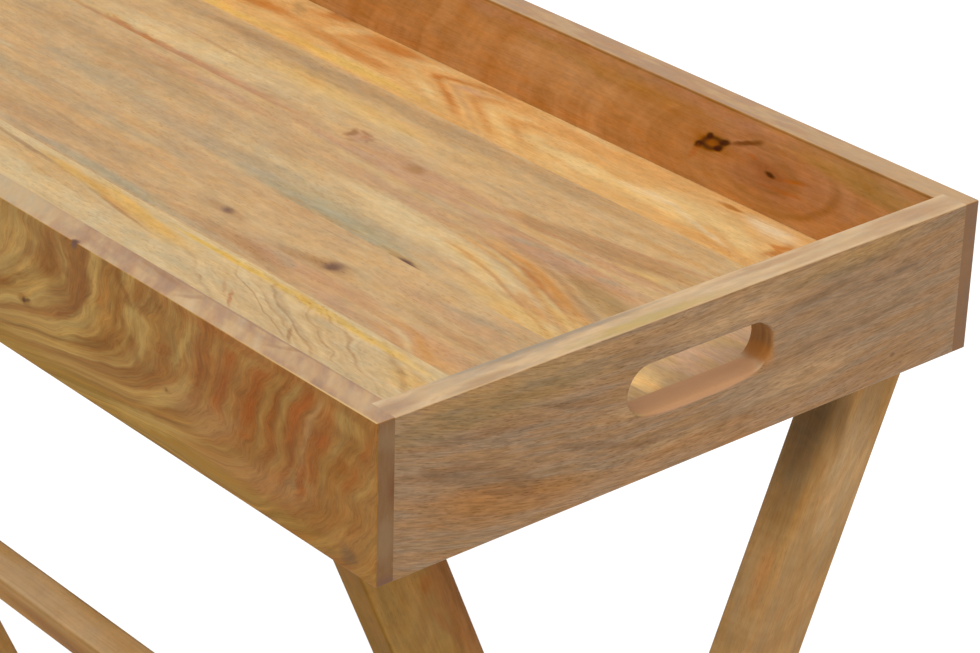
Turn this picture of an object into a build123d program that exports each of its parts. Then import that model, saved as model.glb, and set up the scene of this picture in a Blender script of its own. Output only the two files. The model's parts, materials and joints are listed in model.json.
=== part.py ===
from build123d import *
from math import cos, pi, sin, tan
import os

# Butler tray on a folding stand. Millimetres.
# Origin on the floor under the middle, +X along the long side, +Y to the back, +Z up.
# The tray is a rebated and grooved frame of four boards round a base of edge-glued planks.
# The stand is two frames of two legs each, crossed in an X and bolted where they cross.
# Its leg tops nest inside the skirt that the tray's boards make below the base.

# Tray
tray_length = 840.0
tray_width = 400.0
tray_height = 86.0
board_thickness = 17.0
lip_thickness = 10.0  # of a long board, outside the rebate that holds the end board
well_depth = 54.0  # rim down to the base
base_thickness = 14.0
tongue_thickness = 8.0  # of the base, in the groove of the boards
groove_depth = 6.5
tongue_play = 0.5  # room for the base to swell at the bottom of its groove
shoulder_gap = 0.2  # base to the inside of the boards, above the tongue
board_round = 1.0

# Hand holes, one in each end board
hand_hole_length = 98.0
hand_hole_height = 27.0
hand_hole_drop = 37.0  # rim down to the middle of the hole
hand_hole_offset = 4.0  # middle of the tray to the middle of the hole, towards the back
hand_hole_round = 2.0  # outside, where the fingers bear
hand_hole_chamfer = 1.0  # inside

# Base planks, front to back
plank_shares = (0.150, 0.145, 0.172, 0.198, 0.175, 0.160)

# Stand
leg_width = 47.0
leg_thickness = 25.0
leg_round = 3.5
leg_lean_degrees = 22.3
end_clearance = 3.0  # end board to outer leg
skirt_clearance = 0.8  # long board to leg top
seat_gap = 0.3  # leg tops to the underside of the base
frame_gap = 1.5  # outer leg to inner leg

# Rails between the legs
rail_width = 33.0
rail_thickness = 24.0
rail_round = 4.0
top_rail_drop = 4.0  # the level cut takes this off the rail's high corner
middle_rail_gap = 9.0  # pivot to the rail's lower edge
bottom_rail_rise = 60.0  # foot to the rail's lower edge, along the leg
tenon_length = 15.0
tenon_width = 21.0
tenon_thickness = 12.0

# Pivot hardware
sleeve_radius = 4.5
sleeve_in_outer_leg = 12.0
bolt_radius = 3.0
bolt_head_radius = 8.0
bolt_head_height = 3.2
bolt_head_chamfer = 1.2
socket_across = 4.0
socket_depth = 2.0
bolt_end_gap = 3.0  # bolt tip to the closed end of the sleeve nut
nut_head_radius = 6.5
nut_head_height = 2.0
nut_head_chamfer = 0.6
slot_width = 1.2
slot_depth = 0.9
washer_radius = 10.0
washer_thickness = 1.2
running_clearance = 0.06

overrun = 1.0  # how far a cut runs past the face it starts from

# Worked out from the sizes above
lean = leg_lean_degrees * pi / 180
skirt_half = tray_width / 2 - board_thickness - skirt_clearance
half_spread = skirt_half - leg_width / 2 / cos(lean)
pivot_height = half_spread / tan(lean)  # puts the feet as far apart as the leg tops
tray_bottom = 2 * pivot_height
tray_top = tray_bottom + tray_height
base_top = tray_top - well_depth
base_bottom = base_top - base_thickness
stand_top = base_bottom - seat_gap
leg_reach = stand_top / cos(lean)
outer_leg_face = tray_length / 2 - board_thickness - end_clearance
inner_leg_face = outer_leg_face - leg_thickness - frame_gap
groove_middle = base_bottom + tongue_thickness / 2
base_margin = board_thickness + shoulder_gap
tongue_margin = board_thickness - groove_depth + tongue_play
leg_above_pivot = (stand_top - pivot_height) / cos(lean)
leg_below_pivot = pivot_height / cos(lean)
rail_corner_rise = rail_thickness / 2 * tan(lean)
top_rail_centre = leg_above_pivot - rail_width / 2 - rail_corner_rise + top_rail_drop
middle_rail_centre = middle_rail_gap + rail_width / 2
bottom_rail_centre = -(leg_below_pivot - bottom_rail_rise - rail_width / 2)
ends = {"right": 1, "left": -1}

os.makedirs("parts", exist_ok=True)


def save(piece, label):
    """Names a finished piece and writes its file."""
    piece.part.label = label
    export_step(piece.part, f"parts/{label}.step")


def leaning_plane(turn):
    """The plane of one frame of the stand, through the pivot: x across the legs, y up along them.
    A turn of 1 leans the top to the front, and -1 to the back."""
    across = (0, cos(turn * lean), sin(turn * lean))
    return Plane(origin=(0, 0, pivot_height), x_dir=across, z_dir=(1, 0, 0))


inner_plane = leaning_plane(1)
outer_plane = leaning_plane(-1)
floor_plane = Plane.XY
level_plane = Plane.XY.offset(stand_top)


# Long boards: grooved along the inside for the base, rebated at both ends for the end boards.
for label, back in (("tray_side_front", -1), ("tray_side_back", 1)):
    outside = back * tray_width / 2
    inside = outside - back * board_thickness
    with BuildPart() as side_board:
        with BuildSketch(Plane.YZ) as section:
            with Locations(((outside + inside) / 2, tray_bottom + tray_height / 2)):
                Rectangle(board_thickness, tray_height)
            fillet(section.vertices(), board_round)
            with Locations((inside, groove_middle)):
                Rectangle(2 * groove_depth, tongue_thickness, mode=Mode.SUBTRACT)
        extrude(amount=tray_length / 2, both=True)
        rebate_depth = board_thickness - lip_thickness
        for end in ends.values():
            corner = (end * tray_length / 2, inside, tray_bottom + tray_height / 2)
            with Locations(corner):
                Box(
                    2 * board_thickness,
                    2 * rebate_depth,
                    tray_height + 2 * overrun,
                    mode=Mode.SUBTRACT,
                )
        end_faces = side_board.faces().filter_by(Axis.X).group_by(Axis.X)
        lip_edges = end_faces[0].edges() + end_faces[-1].edges()
        inner_side = lip_edges.filter_by(Axis.Z).group_by(Axis.Y)[0 if back > 0 else -1]
        fillet(lip_edges - inner_side, board_round)
    save(side_board, label)

# End boards: between the lips of the long boards, grooved for the base, with a hand hole.
end_board_length = tray_width - 2 * lip_thickness
for name, end in ends.items():
    outside = end * tray_length / 2
    inside = outside - end * board_thickness
    with BuildPart() as end_board:
        with BuildSketch(Plane.XZ) as section:
            with Locations(((outside + inside) / 2, tray_bottom + tray_height / 2)):
                Rectangle(board_thickness, tray_height)
            inner_top = section.vertices().group_by(Axis.Y)[-1].sort_by_distance((inside, tray_top))[0]
            fillet(section.vertices() - [inner_top], board_round)
            with Locations((inside, groove_middle)):
                Rectangle(2 * groove_depth, tongue_thickness, mode=Mode.SUBTRACT)
        extrude(amount=end_board_length / 2, both=True)
        # The inside top edge is rounded only between the long boards, so the rim has no notch.
        with BuildSketch(Plane.XZ):
            with Locations((inside + end * board_round / 2, tray_top - board_round / 2)):
                Rectangle(board_round, board_round)
            with Locations((inside + end * board_round, tray_top - board_round)):
                Circle(board_round, mode=Mode.SUBTRACT)
        extrude(amount=tray_width / 2 - board_thickness, both=True, mode=Mode.SUBTRACT)
        with BuildSketch(Plane.YZ.offset(inside)):
            with Locations((hand_hole_offset, tray_top - hand_hole_drop)):
                SlotOverall(hand_hole_length, hand_hole_height)
        extrude(amount=end * board_thickness, mode=Mode.SUBTRACT)
        hole_edges = end_board.edges().filter_by(
            lambda edge: abs(edge.center().Z - (tray_top - hand_hole_drop)) <= hand_hole_height / 2
            and abs(edge.center().Y - hand_hole_offset) <= hand_hole_length / 2
            and edge.bounding_box().size.X < board_thickness / 2
        )
        rims = hole_edges.group_by(Axis.X)
        chamfer(rims[0 if end > 0 else -1], hand_hole_chamfer)
        fillet(rims[-1 if end > 0 else 0], hand_hole_round)
    save(end_board, f"tray_end_{name}")

# Base: planks glued edge to edge, with a tongue all round that sits in the groove.
with BuildPart() as base:
    with BuildSketch(Plane.XY.offset(base_bottom)):
        Rectangle(tray_length - 2 * base_margin, tray_width - 2 * base_margin)
    extrude(amount=base_thickness)
    with BuildSketch(Plane.XY.offset(base_bottom)):
        Rectangle(tray_length - 2 * tongue_margin, tray_width - 2 * tongue_margin)
    extrude(amount=tongue_thickness)

glued_width = tray_width - 2 * tongue_margin
front_edge = -glued_width / 2
for number, share in enumerate(plank_shares, start=1):
    plank_width = share / sum(plank_shares) * glued_width
    with BuildPart() as plank:
        add(base.part)
        with Locations((0, front_edge + plank_width / 2, base_bottom + base_thickness / 2)):
            Box(tray_length, plank_width, base_thickness, mode=Mode.INTERSECT)
    save(plank, f"base_plank_{number}")
    front_edge += plank_width


def make_leg(label, plane, turn, outer_face, end, rail_centres, bore_steps):
    """One leg of a frame. The top is cut level under the base and plumb beside the skirt, the
    foot level with the floor. rail_centres are the places of its mortises along the leg, and
    bore_steps the pivot hole's radii, each with its depth from the inside face."""
    middle = end * (outer_face - leg_thickness / 2)
    inside = end * (outer_face - leg_thickness)
    across_leg = Plane(origin=(middle, 0, pivot_height), x_dir=(1, 0, 0), z_dir=plane.y_dir)
    inside_plane = Plane(origin=(inside, 0, pivot_height), x_dir=plane.x_dir, z_dir=(end, 0, 0))
    with BuildPart() as leg:
        with BuildSketch(across_leg):
            RectangleRounded(leg_thickness, leg_width, leg_round)
        extrude(amount=leg_reach, both=True)
        split(bisect_by=floor_plane, keep=Keep.TOP)
        split(bisect_by=level_plane, keep=Keep.BOTTOM)
        plumb_plane = Plane(origin=(0, -turn * skirt_half, 0), z_dir=(0, turn, 0))
        split(bisect_by=plumb_plane, keep=Keep.TOP)
        with BuildSketch(inside_plane):
            for centre in rail_centres:
                with Locations((0, inside_plane.y_dir.dot(plane.y_dir) * centre)):
                    Rectangle(tenon_thickness, tenon_width)
        extrude(amount=tenon_length, mode=Mode.SUBTRACT)
        for radius, depth in bore_steps:
            with BuildSketch(inside_plane):
                Circle(radius)
            extrude(amount=depth, mode=Mode.SUBTRACT)
    save(leg, label)


def make_rail(label, plane, centre, inside_face, cut_level=False):
    """One rail between the legs of a frame, with a tenon at each end."""
    with BuildPart() as rail:
        with BuildSketch(plane):
            with Locations((0, centre)):
                RectangleRounded(rail_thickness, rail_width, rail_round)
        extrude(amount=inside_face, both=True)
        with BuildSketch(plane):
            with Locations((0, centre)):
                Rectangle(tenon_thickness, tenon_width)
        extrude(amount=inside_face + tenon_length, both=True)
        if cut_level:
            split(bisect_by=level_plane, keep=Keep.BOTTOM)
    save(rail, label)


# Outer frame, its top at the back: a rail under the tray and one near the floor.
sleeve_bore = sleeve_radius + running_clearance
bolt_bore = bolt_radius + running_clearance
outer_bores = ((sleeve_bore, sleeve_in_outer_leg), (bolt_bore, leg_thickness))
for name, end in ends.items():
    outer_rails = (top_rail_centre, bottom_rail_centre)
    make_leg(f"outer_leg_{name}", outer_plane, -1, outer_leg_face, end, outer_rails, outer_bores)
make_rail("outer_top_rail", outer_plane, top_rail_centre, outer_leg_face - leg_thickness, True)
make_rail("outer_bottom_rail", outer_plane, bottom_rail_centre, outer_leg_face - leg_thickness)

# Inner frame, its top at the front: a rail under the tray and one just above the pivot.
inner_bores = ((sleeve_bore, leg_thickness),)
for name, end in ends.items():
    inner_rails = (top_rail_centre, middle_rail_centre)
    make_leg(f"inner_leg_{name}", inner_plane, 1, inner_leg_face, end, inner_rails, inner_bores)
make_rail("inner_top_rail", inner_plane, top_rail_centre, inner_leg_face - leg_thickness, True)
make_rail("inner_middle_rail", inner_plane, middle_rail_centre, inner_leg_face - leg_thickness)

# Pivot hardware at each end: a bolt from outside, a sleeve nut from inside, a washer between.
nut_gap = seat_gap  # nut head to the inner leg, which turns on the sleeve
for name, end in ends.items():
    bolt_seat = Plane(origin=(end * outer_leg_face, 0, pivot_height), z_dir=(end, 0, 0))
    nut_face = inner_leg_face - leg_thickness - nut_gap
    nut_seat = Plane(origin=(end * nut_face, 0, pivot_height), z_dir=(-end, 0, 0))
    sleeve_length = nut_gap + leg_thickness + frame_gap + sleeve_in_outer_leg
    shank_length = outer_leg_face - nut_face - bolt_end_gap

    with BuildPart() as bolt:
        with BuildSketch(bolt_seat):
            Circle(bolt_head_radius)
        extrude(amount=bolt_head_height)
        chamfer(bolt.edges().group_by(Axis.X)[-1 if end > 0 else 0], bolt_head_chamfer)
        with BuildSketch(bolt_seat.offset(bolt_head_height)):
            RegularPolygon(socket_across / 2, 6, major_radius=False)
        extrude(amount=-socket_depth, mode=Mode.SUBTRACT)
        with BuildSketch(bolt_seat):
            Circle(bolt_radius)
        extrude(amount=-shank_length)
    save(bolt, f"pivot_bolt_{name}")

    with BuildPart() as nut:
        with BuildSketch(nut_seat):
            Circle(nut_head_radius)
        extrude(amount=nut_head_height)
        chamfer(nut.edges().group_by(Axis.X)[0 if end > 0 else -1], nut_head_chamfer)
        with BuildSketch(nut_seat.offset(nut_head_height)):
            Rectangle(2 * nut_head_radius, slot_width)
        extrude(amount=-slot_depth, mode=Mode.SUBTRACT)
        with BuildSketch(nut_seat):
            Circle(sleeve_radius)
        extrude(amount=-sleeve_length)
        with BuildSketch(nut_seat.offset(-sleeve_length)):
            Circle(bolt_bore)
        extrude(amount=sleeve_length, mode=Mode.SUBTRACT)
    save(nut, f"pivot_nut_{name}")

    washer_seat = Plane(
        origin=(end * (outer_leg_face - leg_thickness), 0, pivot_height), z_dir=(-end, 0, 0)
    )
    with BuildPart() as washer:
        with BuildSketch(washer_seat):
            Circle(washer_radius)
            Circle(sleeve_bore, mode=Mode.SUBTRACT)
        extrude(amount=washer_thickness)
    save(washer, f"pivot_washer_{name}")

print(f"tray {tray_length:.0f} x {tray_width:.0f} x {tray_height:.0f}, total height {tray_top:.1f}")
print(f"skirt edge at {tray_bottom:.1f}, leg tops at {stand_top:.1f}, base from {base_bottom:.1f}")
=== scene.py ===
# %% [markdown]
# # A butler tray of solid timber on its folding stand
#
# The tray is a deep frame of four boards round a base of glued planks, and it stands on two
# crossed frames of legs. Every piece of it is a plain planed shape, so the construction model
# already has the right form. What makes the real object worth looking at is the timber: each board
# comes from another part of the trunk, with its own colour, figure, knots and pores.
#
# So this lesson is mostly about timber. We load the construction as a fixed frame, set up a camera
# and soft light, and then mix the wood of each board from thin layers, the way a grainer would.

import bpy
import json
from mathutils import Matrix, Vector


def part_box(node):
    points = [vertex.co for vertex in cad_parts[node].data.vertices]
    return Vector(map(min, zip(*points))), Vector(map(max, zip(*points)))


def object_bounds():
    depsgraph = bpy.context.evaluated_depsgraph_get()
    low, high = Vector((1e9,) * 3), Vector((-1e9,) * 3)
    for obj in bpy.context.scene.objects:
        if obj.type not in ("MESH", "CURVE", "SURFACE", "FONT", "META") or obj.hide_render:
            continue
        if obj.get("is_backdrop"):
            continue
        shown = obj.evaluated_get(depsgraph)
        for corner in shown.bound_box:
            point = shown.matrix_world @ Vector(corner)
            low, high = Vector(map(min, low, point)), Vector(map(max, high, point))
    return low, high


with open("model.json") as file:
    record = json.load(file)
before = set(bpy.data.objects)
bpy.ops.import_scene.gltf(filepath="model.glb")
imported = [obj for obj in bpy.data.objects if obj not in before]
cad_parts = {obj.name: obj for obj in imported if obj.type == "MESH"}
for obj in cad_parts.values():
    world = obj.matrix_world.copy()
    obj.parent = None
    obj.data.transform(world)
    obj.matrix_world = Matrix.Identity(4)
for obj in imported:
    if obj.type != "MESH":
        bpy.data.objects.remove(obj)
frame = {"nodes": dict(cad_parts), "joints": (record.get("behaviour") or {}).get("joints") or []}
construction_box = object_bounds()
rounded_box = [[round(value, 4) for value in corner] for corner in construction_box]
print("pieces:", len(frame["nodes"]), "box:", rounded_box)

# %% [markdown]
# ## The camera
#
# The view looks down over the near right corner of the tray from about a metre and a half away,
# through a long lens, so the long edges run almost parallel. A camera can be aimed with a
# constraint, but three plain angles are easier to check: how far round it stands, how steeply it
# looks down and how much it leans over.

# %% Aim the camera
import bpy
import bmesh
from math import cos, pi, radians, sin
from mathutils import Matrix, Vector

camera_place = Vector((1.4234, -1.0147, 1.5477))
camera_azimuth = radians(48.76)
camera_elevation = radians(26.60)
camera_roll = radians(1.67)
camera_lens = 120.6
camera_sensor = 36.0

camera_data = bpy.data.cameras.new("tray_camera")
camera_data.sensor_fit = "HORIZONTAL"
camera_data.sensor_width = camera_sensor
camera_data.lens = camera_lens
camera = bpy.data.objects.new("tray_camera", camera_data)
bpy.context.scene.collection.objects.link(camera)
turned = Matrix.Rotation(camera_azimuth, 4, "Z")
tilted = Matrix.Rotation(pi / 2 - camera_elevation, 4, "X")
rolled = Matrix.Rotation(camera_roll, 4, "Z")
camera.matrix_world = Matrix.Translation(camera_place) @ turned @ tilted @ rolled
bpy.context.scene.camera = camera
print("camera at", [round(v, 3) for v in camera_place])

# %% [markdown]
# ## A white studio
#
# The object stands in a white studio: the floor runs out of sight and the light comes from all
# round, more of it from above and a little more from the front. A floor could be a huge plane. A
# disc before a plain grey world does the same: only a very low camera sees where it ends.

# %% Lay the floor and hang the lights
floor_radius = 14.0
floor_white = 0.86
floor_glow = 0.15
room_light = 0.52

floor_mesh = bpy.data.meshes.new("studio_floor")
floor_form = bmesh.new()
bmesh.ops.create_circle(floor_form, cap_ends=True, radius=floor_radius, segments=96)
floor_form.to_mesh(floor_mesh)
floor_form.free()
floor = bpy.data.objects.new("studio_floor", floor_mesh)
bpy.context.scene.collection.objects.link(floor)
floor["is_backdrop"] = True

floor_paint = bpy.data.materials.new("studio_white")
floor_paint.use_nodes = True
floor_shader = floor_paint.node_tree.nodes["Principled BSDF"]
floor_shader.inputs["Base Color"].default_value = (floor_white, floor_white, floor_white, 1)
floor_shader.inputs["Roughness"].default_value = 0.9
floor_shader.inputs["Emission Color"].default_value = (1, 1, 1, 1)
floor_shader.inputs["Emission Strength"].default_value = floor_glow
floor_mesh.materials.append(floor_paint)

studio = bpy.data.worlds.new("studio_air")
studio.use_nodes = True
studio.node_tree.nodes["Background"].inputs["Color"].default_value = (1, 1, 1, 1)
studio.node_tree.nodes["Background"].inputs["Strength"].default_value = room_light
bpy.context.scene.world = studio
bpy.context.scene.view_settings.view_transform = "Standard"


def hang_skylight(name, towards, strength, spread):
    """A sun as wide as a big skylight, so that its shadows have no edge."""
    light_data = bpy.data.lights.new(name, "SUN")
    light_data.energy = strength
    light_data.angle = radians(spread)
    light = bpy.data.objects.new(name, light_data)
    bpy.context.scene.collection.objects.link(light)
    light.matrix_world = Vector(towards).to_track_quat("-Z", "Y").to_matrix().to_4x4()
    return light


hang_skylight("window_skylight", towards=(-0.2, 0.35, -1), strength=2.3, spread=60)
print("floor radius", floor_radius, "lights", len(bpy.data.lights))

# %% [markdown]
# ## Colours
#
# A wood finish is easier to mix when its colours have names. They are written as the eye should see
# them in this studio, from 0 to 255. Blender adds light up in linear values, so a small function
# undoes the curve that a screen puts on a colour. How much light a face gets is taken out later, in
# the lacquer, which also knows the thin white haze of its own gloss.

# %% Name the colours of the timber
def tone(red, green, blue):
    """A colour as seen on a screen, turned into the linear values that a shader wants."""
    def undo_curve(value):
        share = value / 255
        return share / 12.92 if share <= 0.04045 else ((share + 0.055) / 1.055) ** 2.4
    return (undo_curve(red), undo_curve(green), undo_curve(blue), 1.0)


cream = tone(226, 194, 142)
pale = tone(214, 184, 136)
straw = tone(226, 184, 118)
sand = tone(214, 175, 124)
tan = tone(204, 164, 118)
honey = tone(216, 162, 98)
gold = tone(222, 170, 88)
amber = tone(207, 147, 85)
flame = tone(190, 121, 66)
rust = tone(178, 98, 48)
rose = tone(202, 154, 116)
blush = tone(190, 132, 92)
clay = tone(188, 142, 98)
umber = tone(166, 120, 80)
olive = tone(176, 138, 88)
ash = tone(192, 155, 112)
stone = tone(190, 162, 126)
slate = tone(182, 166, 130)
dusk = tone(112, 84, 78)
ink = tone(76, 50, 40)
bronze = tone(157, 116, 66)
brass = tone(183, 146, 88)
moss = tone(156, 119, 56)
chestnut = tone(139, 91, 43)
russet = tone(140, 80, 34)
walnut = tone(149, 118, 85)
drift = tone(158, 124, 92)
bark = tone(118, 88, 64)
copper = tone(178, 118, 64)
fog = tone(152, 126, 100)
tobacco = tone(160, 112, 66)
russet_gold = tone(158, 106, 58)
red_curl = tone(154, 84, 34)
chestnut_glow = tone(166, 106, 56)
heart_brown = tone(150, 92, 56)
heart_glow = tone(164, 100, 56)
tail_red = tone(112, 64, 40)
olive_glow_dark = tone(170, 124, 64)
olive_glow = tone(196, 168, 104)
seam_gold = tone(232, 184, 84)
painted_light_hole_floor = tone(196, 150, 112)
hole_brown = tone(138, 102, 70)
hole_light = tone(166, 124, 84)
leaf_brown = tone(136, 115, 74)
painted_shade_olive = tone(84, 64, 40)
painted_light_honey = tone(264, 214, 140)
blush_with_painted_light = tone(222, 176, 140)
golden_orange = tone(178, 122, 62)
flesh = tone(212, 162, 116)
print("honey in linear light:", [round(v, 3) for v in honey])

# %% [markdown]
# ## A board of timber, layer by layer
#
# Wood could be one noise texture, stretched. Real boards are richer, because several things lie
# over each other: broad streaks of colour along the grain, the figure where the saw cuts through
# the growth rings, stains and knots in places of their own, and over all of it the fine fibres and
# the short open pores. The class below is the palette for these layers. It keeps the colour mixed
# so far, and the place on the board in millimetres, with X along the grain.

# %% Start a board of timber
seed_step = Vector((17.3, 31.7, 43.1))


class Timber:
    """The wood of one board. Sizes and places are in millimetres on the board."""

    def __init__(self, name, seed, along=(1, 0, 0), across=(0, 1, 0), middle=(0, 0, 0)):
        """along and across are the directions of the grain and of the board's face, in the room."""
        self.material = bpy.data.materials.new(name)
        self.material.use_nodes = True
        self.tree = self.material.node_tree
        self.tree.nodes.clear()
        self.seed = seed_step * seed
        where = self.node("TexCoord", out="Object")
        shifted = self.node("VectorMath", {0: where, 1: middle}, operation="SUBTRACT")
        axes = Matrix((along, across, Vector(along).cross(Vector(across))))
        turned = self.node("Mapping", {"Vector": shifted, "Rotation": axes.to_euler()})
        self.steady = self.node("VectorMath", {0: turned, "Scale": 1000.0}, operation="SCALE")
        self.place = self.steady
        self.unrest = {}
        self.colour = None
        self.kept_colour = None
        self.relief = None

    def node(self, kind, inputs=None, out=0, **settings):
        """Adds a node, feeds it numbers or other nodes' outputs, and returns one of its outputs."""
        made = self.tree.nodes.new("ShaderNode" + kind)
        for name, value in settings.items():
            setattr(made, name, value)
        for socket, value in (inputs or {}).items():
            if isinstance(value, bpy.types.NodeSocket):
                self.tree.links.new(value, made.inputs[socket])
            else:
                made.inputs[socket].default_value = value
        return made.outputs[out]

    def sum(self, operation, first, second=0.0, third=0.0):
        """One step of arithmetic."""
        return self.node("Math", {0: first, 1: second, 2: third}, operation=operation)

    def parts(self, place):
        """The three numbers of a place: along the grain, across it and through the board."""
        return self.node("SeparateXYZ", {0: place}).node.outputs

    def join(self, along, across, through):
        """A place put together from three numbers."""
        return self.node("CombineXYZ", {0: along, 1: across, 2: through})

    def ease(self, value, low, high, from_share=0.0, to_share=1.0):
        """Goes smoothly from one share to the other while the value goes from low to high."""
        sockets = {0: value, 1: low, 2: high, 3: from_share, 4: to_share}
        return self.node("MapRange", sockets, interpolation_type="SMOOTHSTEP")

    def noise(self, size, detail=2.0, rough=0.5, shift=0.0, out=0):
        """Noise whose blotches have the given size along X, Y and Z."""
        scale = Vector([1 / reach for reach in size])
        offset = self.seed + Vector((shift, shift * 1.7, shift * 2.3))
        sockets = {0: self.place, 1: scale, 2: offset}
        scaled = self.node("VectorMath", sockets, operation="MULTIPLY_ADD")
        sockets = {"Vector": scaled, "Scale": 1.0, "Detail": detail, "Roughness": rough}
        return self.node("TexNoise", sockets, out)

    def mix(self, share, layer, kind="MIX"):
        """Lays a colour over the colour mixed so far, by a share from 0 to 1."""
        sockets = {0: share, 6: self.colour, 7: layer}
        self.colour = self.node("Mix", sockets, 2, data_type="RGBA", blend_type=kind)

    def tint(self, cover, share, layer):
        """Lays a colour over a cover, thinned by a share."""
        self.mix(self.sum("MULTIPLY", cover, share), layer)

    def ramp(self, value, tones):
        """Spreads several tones evenly over a value from 0 to 1."""
        made = self.node("ValToRGB", {"Fac": value}).node
        bands = made.color_ramp.elements
        bands[0].color = tones[0]
        bands[1].color = tones[-1]
        for number, colour in enumerate(tones[1:-1], start=1):
            bands.new(number / (len(tones) - 1)).color = colour
        return made.outputs["Color"]


print("Timber can mix:", [name for name in vars(Timber) if not name.startswith("_")])

# %% [markdown]
# ## How the grain runs
#
# Grain is never quite straight. It drifts, and it flows round knots as water flows round a stone.
# Both are made the same way: the place on the board is moved a little before any pattern looks at
# it, so every later layer follows the same flow. The same trick, at a smaller scale, frays the edge
# of a stain, so two noises are kept ready for that, a broad one and a fine one.

# %% Let the grain drift and flow round knots
right_through = 1e6


def centred_noise(wood, size, detail, shift):
    """Three noises in one, each about as often below zero as above it."""
    noise = wood.noise(size, detail, shift=shift, out="Color")
    return wood.node("VectorMath", {0: noise, 1: (0.5, 0.5, 0.5)}, operation="SUBTRACT")


def nudge(wood, unrest, reach, place):
    """Moves a place by a centred noise."""
    sockets = {0: unrest, 1: reach, 2: place}
    return wood.node("VectorMath", sockets, operation="MULTIPLY_ADD")


def wander(wood, reach=14, size=(170, 40, 40)):
    """Lets the grain drift sideways, and keeps the noises that fray the edges of stains."""
    wood.unrest["broad"] = centred_noise(wood, (46, 11, 11), 3.0, 3.0)
    wood.unrest["fine"] = centred_noise(wood, (13, 3.5, 3.5), 2.0, 5.0)
    drift = centred_noise(wood, size, 1.0, 0.0)
    wood.place = nudge(wood, drift, (reach, reach, reach), wood.place)


def distance_from(wood, at, size, turn=0.0, bend=0.0, place=None):
    """Grows from 0 at a spot to 1 on an ellipse of the given half length and half width. With only
    two numbers the spot goes right through the board. A bend lifts both ends of the ellipse."""
    sockets = {
        "Vector": place or wood.steady,
        "Location": (*at, 0)[:3],
        "Rotation": (0, 0, radians(turn)),
        "Scale": (*size, right_through)[:3],
    }
    local = wood.node("Mapping", sockets, vector_type="TEXTURE")
    if bend:
        along, across, through = wood.parts(local)
        lift = wood.sum("MULTIPLY", wood.sum("MULTIPLY", along, along), -bend)
        local = wood.join(along, wood.sum("ADD", across, lift), through)
    return wood.node("VectorMath", {0: local}, "Value", operation="LENGTH")


def flow_round(wood, at, size, push=0.6):
    """Spreads the grain apart round a knot."""
    near = wood.ease(distance_from(wood, at, size), 0.0, 1.0, push, 0.0)
    away = wood.node("VectorMath", {0: wood.place, 1: (*at, 0)}, operation="SUBTRACT")
    aside = wood.node("VectorMath", {0: away, 1: (0, -1, 0)}, operation="MULTIPLY")
    moved = wood.node("VectorMath", {0: aside, "Scale": near}, operation="SCALE")
    wood.place = wood.node("VectorMath", {0: wood.place, 1: moved}, operation="ADD")


print("grain helpers:", wander.__name__, distance_from.__name__, flow_round.__name__)

# %% [markdown]
# ## Streaks, figure, stains and knots
#
# These layers give a board its face. Streaks are long blotches of noise spread over a few tones.
# Figure is a pattern of bands that follows a formula, such as ellipses round the heart of the tree.
# A stain is one tone faded out towards a frayed edge, and a dark one of a few millimetres is a knot.

# %% Layers that give a board its face
def streaks(wood, tones, size=(110, 22, 22), contrast=0.32, detail=3.0):
    """The first layer: broad streaks of several tones along the grain."""
    value = wood.noise(size, detail, 0.55)
    wood.colour = wood.ramp(wood.ease(value, 0.5 - contrast, 0.5 + contrast), tones)


def bands(wood, field, width, wobble=0.35, shift=0.0, detail=2.0):
    """Random bands, from 0 to 1, that follow a field which grows across the rings."""
    unrest = wood.noise((30, 14, 30), 2.0, shift=7.0 + shift)
    step = wood.sum("MULTIPLY_ADD", field, 1 / width, wood.sum("MULTIPLY", unrest, wobble * 2))
    shifted = wood.sum("ADD", step, shift * 3.1)
    sockets = {"W": shifted, "Scale": 1.0, "Detail": detail, "Roughness": 0.6}
    value = wood.node("TexNoise", sockets, noise_dimensions="1D")
    return wood.ease(value, 0.28, 0.72)


def patch(wood, at, size, turn=0.0, bend=0.0, fray=0.7, core=0.25):
    """A share that is 1 in the middle of a patch and fades out to its edge, which is frayed more
    along the grain than across it."""
    half_width = size[1]
    reach = fray * half_width
    fraying = (reach * 3, reach * 1.6, 0)
    unrest = wood.unrest["broad" if half_width > 6 else "fine"]
    frayed = nudge(wood, unrest, fraying, wood.steady)
    return wood.ease(distance_from(wood, at, size, turn, bend, frayed), 1.0, core)


def stain(wood, at, size, colour, share=1.0, turn=0.0, bend=0.0, fray=0.7, core=0.25):
    """Lays one tone over a patch."""
    wood.tint(patch(wood, at, size, turn, bend, fray, core), share, colour)


def stains(wood, rows):
    """Lays many stains, one over the other: place, size, tone, share, and perhaps turn and bend."""
    for row in rows:
        stain(wood, *row)


def ribbon(wood, field, at, width, colour, share=0.8, inside=1.0):
    """Lays one soft band where a field has the given value, inside a patch if there is one."""
    unrest = wood.noise((34, 14, 34), 3.0, shift=at * 0.37)
    uneven = width * 1.6
    middle = at + width * 0.8
    moved = wood.sum("MULTIPLY_ADD", unrest, uneven, field)
    away = wood.sum("ABSOLUTE", wood.sum("SUBTRACT", moved, middle))
    cover = wood.ease(away, width * 1.15, 0.0)
    wood.tint(wood.sum("MULTIPLY", cover, share), inside, colour)


def ribbons(wood, field, inside, rows):
    """Lays many ribbons: value of the field, width, tone and share."""
    for at, width, colour, share in rows:
        ribbon(wood, field, at, width, colour, share, inside)


def knot(wood, at, size, colour, halo, share=0.95):
    """A small dark knot in a soft halo that trails off along the grain."""
    stain(wood, at, (size * 3.4, size * 1.5), halo, 0.7)
    stain(wood, at, (size, size * 0.85), colour, share, fray=0.4, core=0.25)


print("face helpers:", streaks.__name__, bands.__name__, stains.__name__, ribbons.__name__)

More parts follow.
